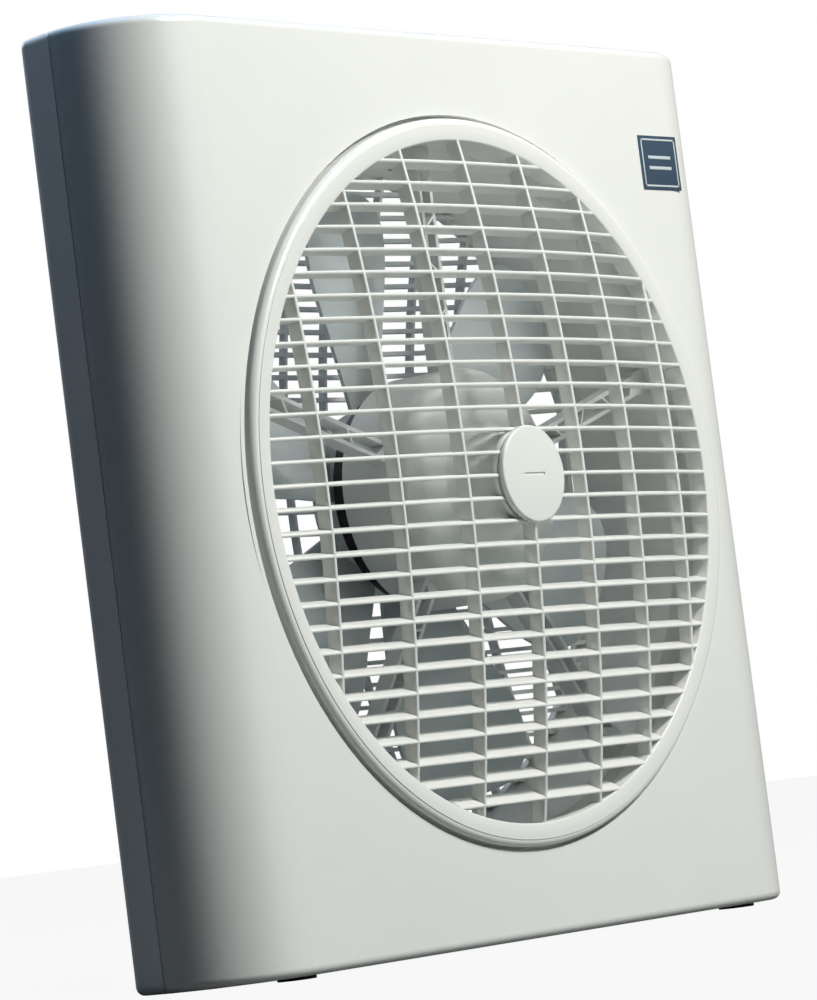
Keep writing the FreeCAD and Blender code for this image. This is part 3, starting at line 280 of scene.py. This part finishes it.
FINISHES = {
    "case": ("front_cover", "rear_cover", "rear_grille", "control_tray", "terminal_block"),
    "grille": ("front_grille", "grille_cap"),
    "carrier": ("motor_carrier",),
    "impeller": ("impeller", "impeller_nut"),
    "motor": ("motor_rear_bell", "motor_front_bell"),
    "badge": ("badge",),
    "knob": ("speed_knob", "timer_knob", "speed_spindle", "timer_spindle", "grille_rocker"),
    "switch": ("speed_switch", "timer", "rocker_switch", "run_capacitor", "cord_gland",
               "motor_lead"),
    "rubber": ("rubber_feet",),
    "steel": ("rear_grille_screws", "case_screws", "carrier_screws", "gearmotor_screws",
              "grille_gearmotor", "grille_spindle", "grille_screw", "stator_core", "rotor",
              "motor_shaft", "front_bearing", "rear_bearing", "motor_screws"),
    "copper": ("stator_windings",),
    "bronze": ("grille_bush",),
}


# Filled by the finishes operator: each finish and the material that carries it.
FINISH_NAMES = {}


def finish_of(name):
    return bpy.data.materials[FINISH_NAMES[name]]


# ---------------------------------------------------------------- mesh helpers

def piece(name, mesh_builder, finish, body, smooth_angle=35):
    """Turn a filled bmesh into a finished object that rides on a body."""
    mesh = bpy.data.meshes.new(name)
    mesh_builder.to_mesh(mesh)
    mesh_builder.free()
    made = bpy.data.objects.new(name, mesh)
    bpy.context.scene.collection.objects.link(made)
    mesh.materials.append(finish_of(finish))
    mesh.shade_smooth()
    mesh.set_sharp_from_angle(angle=math.radians(smooth_angle))
    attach(made, body)
    return made


def spun(profile, steps=192):
    """A round piece about the fan's axis from (radius, depth) corners, both in metres."""
    made = bmesh.new()
    corners = [made.verts.new((radius, depth, 0)) for radius, depth in profile]
    edges = [made.edges.new((corners[i], corners[(i + 1) % len(corners)]))
             for i in range(len(corners))]
    bmesh.ops.spin(made, geom=corners + edges, cent=(0, 0, 0), axis=(0, 1, 0), dvec=(0, 0, 0),
                   angle=2 * math.pi, steps=steps, use_merge=True, use_duplicate=False)
    bmesh.ops.remove_doubles(made, verts=made.verts, dist=1e-6)
    bmesh.ops.recalc_face_normals(made, faces=made.faces)
    bmesh.ops.translate(made, verts=made.verts, vec=(0, 0, AXIS_UP))
    return made


def arc(centre, radius, start, end, count):
    """Points of a rounded corner in a (radius, depth) profile, angles in degrees."""
    points = []
    for step in range(count + 1):
        angle = math.radians(start + (end - start) * step / count)
        points.append((centre[0] + radius * math.cos(angle), centre[1] + radius * math.sin(angle)))
    return points


# ---------------------------------------------------------------- turning grille

def dome_depth(sizes, radius):
    """How far the dome stands before the ring's inner edge at a radius."""
    big = (sizes.ring_inner ** 2 + sizes.dome_rise ** 2) / (2 * sizes.dome_rise)
    return math.sqrt(max(big ** 2 - radius ** 2, 0)) - (big - sizes.dome_rise)


def bar(target, sizes, across, start, end, upright, tilt):
    """One louvre or rib: a rounded plate, bent so that its front edge follows the dome."""
    length = end - start
    made = bmesh.new()
    bmesh.ops.create_cube(made, size=1.0)
    bmesh.ops.scale(made, vec=(length, sizes.louvre_depth, sizes.bar_thickness), verts=made.verts)
    front = [edge for edge in made.edges
             if all(v.co.y < 0 for v in edge.verts) and edge.calc_length() > length * 0.9]
    bmesh.ops.bevel(made, geom=front, affect="EDGES", offset=0.46 * sizes.bar_thickness,
                    segments=3, profile=0.5, material=-1)
    lines = [edge for edge in made.edges if edge.calc_length() > length * 0.9]
    cuts = max(2, int(length / (9 * MM)))
    bmesh.ops.subdivide_edges(made, edges=lines, cuts=cuts, use_grid_fill=True)
    bmesh.ops.translate(made, verts=made.verts,
                        vec=((start + end) / 2, sizes.louvre_depth / 2, 0))
    for vertex in made.verts:
        depth = vertex.co.y
        vertex.co.y = depth - dome_depth(sizes, math.hypot(vertex.co.x, across))
        vertex.co.z += across + depth * math.tan(tilt)
    if upright:
        bmesh.ops.rotate(made, verts=made.verts, cent=(0, 0, 0),
                         matrix=Matrix.Rotation(math.radians(90), 3, "Y"))
    mesh = bpy.data.meshes.new("bar")
    made.to_mesh(mesh)
    made.free()
    target.from_mesh(mesh)
    bpy.data.meshes.remove(mesh)


def bar_spans(sizes, across, hub):
    """The stretches of a bar between the ring and the boss."""
    reach = math.sqrt((sizes.ring_inner + 1 * MM) ** 2 - across ** 2)
    if abs(across) >= hub:
        return [(-reach, reach)]
    inner = math.sqrt(hub ** 2 - across ** 2) - 1 * MM
    return [(-reach, -inner), (inner, reach)]


def build_bars(sizes):
    made = bmesh.new()
    hub = (CAP_HIGH.x - CAP_LOW.x) / 2
    hub = min(hub, BOSS_RADIUS)
    for row in range(-sizes.louvre_rows, sizes.louvre_rows + 1):
        across = row * sizes.louvre_pitch
        tilt = math.atan2(LOUVRE_FOCUS_UP - across, LOUVRE_FOCUS_BACK)
        for start, end in bar_spans(sizes, across, hub):
            bar(made, sizes, across, start, end, False, tilt)
    for column in range(-sizes.rib_columns, sizes.rib_columns + 1):
        across = column * sizes.rib_pitch
        for start, end in bar_spans(sizes, across, hub):
            bar(made, sizes, across, start, end, True, 0)
    bmesh.ops.translate(made, verts=made.verts, vec=(0, RING_FRONT, AXIS_UP))
    return made


class BOXFAN_OT_grille(bpy.types.Operator):
    """Ring, louvres, boss and cap of the turning grille"""

    bl_idname = "boxfan.grille"
    bl_label = "Turning Grille"

    def execute(self, context):
        sizes = context.scene.box_fan_sizes
        bars = piece("grille_louvres", build_bars(sizes), "grille", "turning_grille", 50)
        inner, outer = sizes.ring_inner, RING_OUTER
        profile = arc((inner + 1.2 * MM, 1.0 * MM), 1.0 * MM, 180, 270, 4)
        crown = 0.9 * MM
        width = outer - inner
        for share in (0.3, 0.5, 0.7):
            profile.append((inner + share * width, -crown * (1 - (2 * share - 1) ** 2) * 0.5))
        profile += arc((outer - 3.2 * MM, 3.2 * MM), 3.2 * MM, 270, 360, 8)
        profile += [(outer, RING_DEPTH), (outer - 2 * MM, RING_DEPTH),
                    (outer - 2 * MM, 4.5 * MM), (outer - 4 * MM, 2.4 * MM),
                    (inner + 2 * MM, 2.2 * MM), (inner + 2 * MM, RING_DEPTH - 2 * MM),
                    (inner, RING_DEPTH - 2 * MM)]
        ring_mesh = spun([(r, RING_FRONT + d) for r, d in profile], 256)
        ring = piece("grille_ring", ring_mesh, "grille", "turning_grille")
        hub = BOSS_RADIUS
        start = CAP_HIGH.y
        boss_profile = [(4.2 * MM, start + 0.5 * MM), (hub - 1.6 * MM, start + 0.5 * MM),
                        (hub - 1.0 * MM, start + 0.9 * MM), (hub - 1.0 * MM, start + 1.4 * MM),
                        (hub, start + 1.6 * MM), (hub, start + 3.7 * MM),
                        (4.2 * MM, start + 3.7 * MM)]
        boss = piece("grille_boss", spun(boss_profile, 96), "grille", "turning_grille")
        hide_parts("front_grille")
        cap_profile = [(0.02 * MM, CAP_LOW.y)]
        cap_profile += arc((hub - 1.2 * MM, CAP_LOW.y + 1.2 * MM), 1.2 * MM, 270, 360, 6)
        cap_profile += [(hub, start), (0.02 * MM, start)]
        cap = piece("grille_cap_disc", spun(cap_profile, 96), "grille", "turning_grille")
        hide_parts("grille_cap")
        cut_dash(cap)
        return {"FINISHED"}


def cut_dash(cap):
    """Sink the short dash in the middle of the cap."""
    cutter = bmesh.new()
    bmesh.ops.create_cube(cutter, size=1.0)
    bmesh.ops.scale(cutter, vec=(16 * MM, 1.6 * MM, 1.3 * MM), verts=cutter.verts)
    bmesh.ops.translate(cutter, verts=cutter.verts, vec=(0, CAP_LOW.y, AXIS_UP))
    mesh = bpy.data.meshes.new("dash_cutter")
    cutter.to_mesh(mesh)
    cutter.free()
    tool = bpy.data.objects.new("dash_cutter", mesh)
    bpy.context.scene.collection.objects.link(tool)
    cut = cap.modifiers.new("dash", "BOOLEAN")
    cut.operation = "DIFFERENCE"
    cut.solver = "EXACT"
    cut.object = tool
    evaluated = cap.evaluated_get(bpy.context.evaluated_depsgraph_get())
    cut_mesh = bpy.data.meshes.new_from_object(evaluated)
    cap.modifiers.clear()
    cap.data = cut_mesh
    bpy.data.objects.remove(tool)


# ---------------------------------------------------------------- controls

def turned_up(profile, steps=72):
    """A round piece about an upright axis from (radius, height) corners."""
    made = bmesh.new()
    corners = [made.verts.new((radius, 0, height)) for radius, height in profile]
    edges = [made.edges.new((corners[i], corners[(i + 1) % len(corners)]))
             for i in range(len(corners))]
    bmesh.ops.spin(made, geom=corners + edges, cent=(0, 0, 0), axis=(0, 0, 1), dvec=(0, 0, 0),
                   angle=2 * math.pi, steps=steps, use_merge=True, use_duplicate=False)
    bmesh.ops.remove_doubles(made, verts=made.verts, dist=1e-6)
    bmesh.ops.recalc_face_normals(made, faces=made.faces)
    return made


def rounded_box(target, low, high, radius, segments=3, taper=1.0, place=None):
    """A box with rounded edges between two corners, its top narrowed by taper, then turned."""
    low, high = Vector(low), Vector(high)
    made = bmesh.new()
    bmesh.ops.create_cube(made, size=1.0)
    bmesh.ops.scale(made, vec=high - low, verts=made.verts)
    bmesh.ops.scale(made, vec=(taper, taper, 1), verts=[v for v in made.verts if v.co.z > 0])
    bmesh.ops.bevel(made, geom=made.edges, affect="EDGES", offset=radius, segments=segments,
                    profile=0.5, material=-1)
    bmesh.ops.translate(made, verts=made.verts, vec=(low + high) / 2)
    if place is not None:
        bmesh.ops.transform(made, verts=made.verts, matrix=place)
    mesh = bpy.data.meshes.new("box")
    made.to_mesh(mesh)
    made.free()
    target.from_mesh(mesh)
    bpy.data.meshes.remove(mesh)


def dial_ticks(target, centre, radius, floor, first, last, count):
    """Short printed marks on an arc round a knob, clockwise from the back, in degrees."""
    for step in range(count):
        angle = math.radians(first + (last - first) * step / (count - 1))
        turn = Matrix.Translation((centre.x, centre.y, 0)) @ Matrix.Rotation(-angle, 4, "Z")
        rounded_box(target, (-0.3 * MM, radius, floor - 0.05 * MM),
                    (0.3 * MM, radius + 1.3 * MM, floor + 0.12 * MM), 0.05 * MM, 1, 1.0, turn)


class BOXFAN_OT_controls(bpy.types.Operator):
    """Speed and timer knobs with their marks"""

    bl_idname = "boxfan.controls"
    bl_label = "Controls"

    def execute(self, context):
        tray_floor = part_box("control_tray")[0].z + TRAY_WALL
        marks = bmesh.new()
        for name, body, first, last, count in (
                ("speed_knob", "speed_control", 0, 135, 4),
                ("timer_knob", "timer_control", 0, 300, 11)):
            low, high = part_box(name)
            centre = (low + high) / 2
            radius = (high.x - low.x) / 2
            profile = [(KNOB_BORE, low.z), (radius - 0.4 * MM, low.z), (radius, low.z + 0.4 * MM)]
            profile += arc((radius - 1.2 * MM, low.z + 2.8 * MM), 1.2 * MM, 0, 90, 4)
            profile += [(radius - 4.6 * MM, low.z + 4.4 * MM), (radius - 5.4 * MM, low.z + 5.6 * MM)]
            profile += arc((radius - 6.8 * MM, high.z - 4.0 * MM), 1.2 * MM, 0, 90, 4)
            profile += [(0.05 * MM, high.z - 2.8 * MM), (0.05 * MM, low.z + 6.5 * MM),
                        (KNOB_BORE, low.z + 6.5 * MM)]
            knob_mesh = turned_up(profile)
            bmesh.ops.translate(knob_mesh, verts=knob_mesh.verts, vec=(centre.x, centre.y, 0))
            rounded_box(knob_mesh, (centre.x - 2.8 * MM, low.y + 1.2 * MM, low.z + 2 * MM),
                        (centre.x + 2.8 * MM, high.y - 1.2 * MM, high.z), 0.9 * MM, 3, 0.9)
            knob = piece(name + "_turned", knob_mesh, "knob", body, 40)
            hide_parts(name)
            pointer_mesh = bmesh.new()
            rounded_box(pointer_mesh, (centre.x - 0.5 * MM, centre.y + 3 * MM, high.z - 0.3 * MM),
                        (centre.x + 0.5 * MM, high.y - 2.6 * MM, high.z + 0.1 * MM), 0.1 * MM, 2)
            pointer = piece(name + "_pointer", pointer_mesh, "mark", body)
            dial_ticks(marks, centre, radius + 0.3 * MM, tray_floor, first, last, count)
        ticks = piece("dial_ticks", marks, "mark", "case")
        return {"FINISHED"}


# ---------------------------------------------------------------- badge

class BOXFAN_OT_badge(bpy.types.Operator):
    """Plain plate with a raised pale frame and two bars, with no lettering"""

    bl_idname = "boxfan.badge"
    bl_label = "Badge"

    def execute(self, context):
        low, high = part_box("badge")
        plate_mesh = bmesh.new()
        rounded_box(plate_mesh, low, high, 0.2 * MM, 3)
        plate = piece("badge_plate", plate_mesh, "badge", "case")
        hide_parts("badge")
        frame_mesh = bmesh.new()
        front, width, inset = low.y, 0.9 * MM, 1.6 * MM
        left, right = low.x + inset, high.x - inset
        bottom, top = low.z + inset, high.z - inset
        bands = [((left, bottom), (right, bottom + width)), ((left, top - width), (right, top)),
                 ((left, bottom), (left + width, top)), ((right - width, bottom), (right, top))]
        for share in (0.36, 0.58):
            level = bottom + share * (top - bottom)
            bands.append(((left + 5 * MM, level), (right - 5 * MM, level + 1.6 * MM)))
        for (x0, z0), (x1, z1) in bands:
            rounded_box(frame_mesh, (x0, front - 0.12 * MM, z0), (x1, front + 0.1 * MM, z1),
                        0.05 * MM, 2)
        border = piece("badge_frame", frame_mesh, "badge_print", "case")
        return {"FINISHED"}


# ---------------------------------------------------------------- carried-over nodes

class BOXFAN_OT_finishes(bpy.types.Operator):
    """Materials of every node that is carried over from the frame"""

    bl_idname = "boxfan.finishes"
    bl_label = "Finishes"

    def execute(self, context):
        made = make_materials(context.scene.box_fan_colours)
        for name, material in made.items():
            FINISH_NAMES[name] = material.name
        for name, nodes in FINISHES.items():
            for node_name in nodes:
                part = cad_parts[node_name]
                if not part.material_slots:
                    raise RuntimeError("no material slot on " + node_name)
                for part_slot in part.material_slots:
                    part_slot.link = "OBJECT"
                    part_slot.material = made[name]
        return {"FINISHED"}


# ---------------------------------------------------------------- stage

def lamp(name, aim, azimuth, elevation, distance, size, power, colour):
    """A square soft light that looks at the fan from a direction, angles in degrees."""
    light = bpy.data.lights.new(name, "AREA")
    light.shape = "SQUARE"
    light.size = size
    light.energy = power
    light.color = linear(colour)[:3]
    made = bpy.data.objects.new(name, light)
    bpy.context.scene.collection.objects.link(made)
    a, e = math.radians(azimuth), math.radians(elevation)
    way = Vector((math.sin(a) * math.cos(e), -math.cos(a) * math.cos(e), math.sin(e)))
    made.location = aim + way * distance
    made.rotation_euler = way.to_track_quat("Z", "Y").to_euler()
    return made


def studio_world():
    """A white backdrop to look at, and a dim bluish room to be lit by."""
    world = bpy.data.worlds.new("studio")
    world.use_nodes = True
    tree = world.node_tree
    tree.nodes.clear()
    backdrop = node(tree, "ShaderNodeBackground", {"Color": linear("#ffffff"), "Strength": 1.0})
    room = node(tree, "ShaderNodeBackground", {"Color": linear("#9cc0e6"), "Strength": ROOM_LIGHT})
    rays = tree.nodes.new("ShaderNodeLightPath")
    both = node(tree, "ShaderNodeMixShader", None, Fac=rays.outputs["Is Camera Ray"])
    tree.links.new(room.outputs[0], both.inputs[1])
    tree.links.new(backdrop.outputs[0], both.inputs[2])
    output = tree.nodes.new("ShaderNodeOutputWorld")
    tree.links.new(both.outputs[0], output.inputs["Surface"])
    return world


def pale_floor():
    """Matt mid-grey floor that camera rays alone see as near-white, so its white never lights the fan."""
    material, tree, shader = blank("floor_pale")
    shader.inputs["Base Color"].default_value = linear("#5c5c5c")
    shader.inputs["Roughness"].default_value = 0.9
    sweep = node(tree, "ShaderNodeEmission", {"Color": linear("#ffffff"), "Strength": 1.0})
    rays = tree.nodes.new("ShaderNodeLightPath")
    share = node(tree, "ShaderNodeMath", {"operation": "MULTIPLY"})
    tree.links.new(rays.outputs["Is Camera Ray"], share.inputs[0])
    share.inputs[1].default_value = FLOOR_WHITE_SHARE
    both = node(tree, "ShaderNodeMixShader", None, Fac=share.outputs[0])
    tree.links.new(shader.outputs[0], both.inputs[1])
    tree.links.new(sweep.outputs[0], both.inputs[2])
    output = next(n for n in tree.nodes if n.type == "OUTPUT_MATERIAL")
    tree.links.new(both.outputs[0], output.inputs["Surface"])
    return material


class BOXFAN_OT_stage(bpy.types.Operator):
    """Floor, soft studio lights and the camera"""

    bl_idname = "boxfan.stage"
    bl_label = "Stage"

    def execute(self, context):
        floor_mesh = bmesh.new()
        bmesh.ops.create_grid(floor_mesh, x_segments=1, y_segments=1, size=FLOOR_HALF_WIDTH)
        mesh = bpy.data.meshes.new("floor")
        floor_mesh.to_mesh(mesh)
        floor_mesh.free()
        floor = bpy.data.objects.new("floor", mesh)
        context.scene.collection.objects.link(floor)
        mesh.materials.append(pale_floor())

        context.scene.world = studio_world()
        for name, azimuth, elevation, distance, size, power, colour in LAMPS:
            lamp(name, AIM, azimuth, elevation, distance, size, power, colour)
        context.scene.view_settings.view_transform = "Standard"

        lens = bpy.data.cameras.new("camera")
        lens.sensor_width = SENSOR_WIDTH
        lens.sensor_fit = "AUTO"
        lens.lens = CAMERA_LENS
        lens.clip_start = 0.05
        lens.clip_end = 100
        camera = bpy.data.objects.new("camera", lens)
        context.scene.collection.objects.link(camera)
        a, e = math.radians(CAMERA_AZIMUTH), math.radians(CAMERA_ELEVATION)
        back = Vector((math.sin(a) * math.cos(e), -math.cos(a) * math.cos(e), math.sin(e)))
        roll = Matrix.Rotation(math.radians(CAMERA_ROLL), 3, "Z")
        turn = back.to_track_quat("Z", "Y").to_matrix() @ roll
        camera.matrix_world = Matrix.Translation(AIM + back * CAMERA_DISTANCE) @ turn.to_4x4()
        context.scene.camera = camera
        return {"FINISHED"}


# ---------------------------------------------------------------- add-on

STEPS = (BOXFAN_OT_finishes, BOXFAN_OT_grille, BOXFAN_OT_controls, BOXFAN_OT_badge,
         BOXFAN_OT_stage)


class BOXFAN_PT_panel(bpy.types.Panel):
    """Sidebar panel that lists the fan's pieces"""

    bl_label = "Box Fan"
    bl_idname = "BOXFAN_PT_panel"
    bl_space_type = "VIEW_3D"
    bl_region_type = "UI"
    bl_category = "Box Fan"

    def draw(self, context):
        for step in STEPS:
            self.layout.operator(step.bl_idname)
        for group in (context.scene.box_fan_sizes, context.scene.box_fan_colours):
            for name in group.__annotations__:
                self.layout.prop(group, name)


CLASSES = (BoxFanSizes, BoxFanColours, *STEPS, BOXFAN_PT_panel)


def register():
    for made in CLASSES:
        bpy.utils.register_class(made)
    bpy.types.Scene.box_fan_sizes = PointerProperty(type=BoxFanSizes)
    bpy.types.Scene.box_fan_colours = PointerProperty(type=BoxFanColours)


def unregister():
    del bpy.types.Scene.box_fan_colours
    del bpy.types.Scene.box_fan_sizes
    for made in reversed(CLASSES):
        bpy.utils.unregister_class(made)


def main():
    register()
    bpy.ops.boxfan.finishes()
    bpy.ops.boxfan.grille()
    bpy.ops.boxfan.controls()
    bpy.ops.boxfan.badge()
    bpy.ops.boxfan.stage()


if __name__ == "__main__":
    main()
